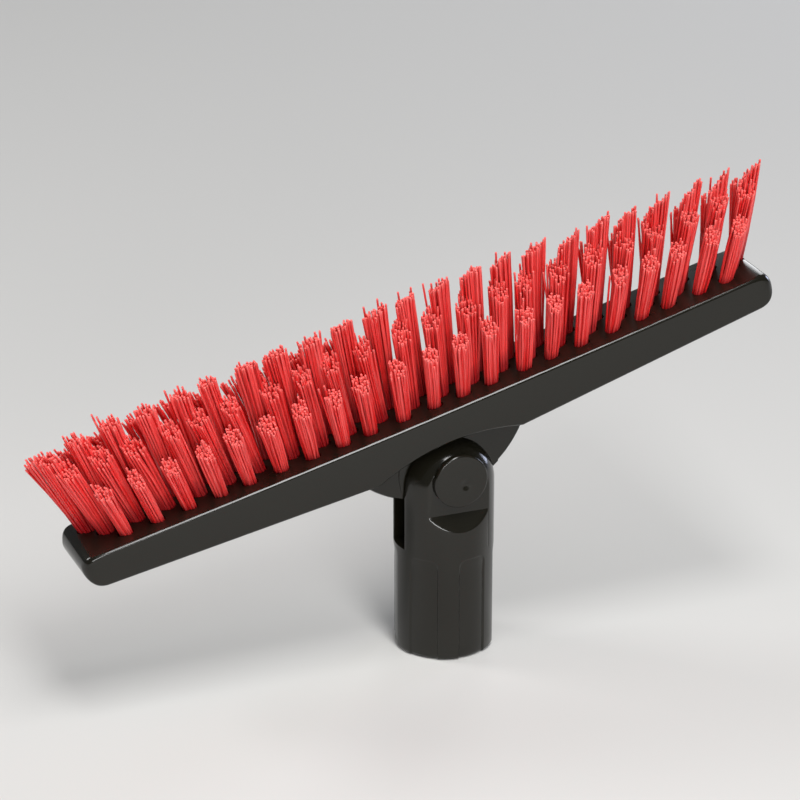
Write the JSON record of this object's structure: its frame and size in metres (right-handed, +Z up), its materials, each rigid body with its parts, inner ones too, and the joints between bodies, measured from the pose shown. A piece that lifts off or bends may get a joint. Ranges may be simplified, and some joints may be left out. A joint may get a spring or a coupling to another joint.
{
  "type": "grout brush",
  "caption": "Long narrow scrubbing brush head with staggered rows of raked red bristles in a bowed black block, pinned by a lug in a forked handle socket so that it swivels.",
  "frame": {"origin": "centre of the handle socket's mouth, in the plane of its rim", "axes": "+Z up along the socket's axis, +X towards the raised end of the brush head, -Y towards the pin's head and the front that the bristles lean to"},
  "size_m": [0.2341, 0.0315, 0.1497],
  "materials": {
    "block": "moulded black, glossy",
    "bristles": "drawn coral-red filament, semi-gloss",
    "socket": "moulded black, glossy",
    "pin": "moulded black, glossy"
  },
  "bodies": {
    "socket_body": {"handle_socket": "socket", "pivot_pin": "pin"},
    "head": {"brush_block": "block", "bristle_row_front": "bristles", "bristle_row_middle": "bristles", "bristle_row_back": "bristles"}
  },
  "joints": [
    {"name": "head_swivel", "type": "hinge", "parent": "socket_body", "child": "head", "pos_m": [0, 0, 0.0592], "axis": [0, -1, 0], "range_deg": [-60, 30]}
  ]
}
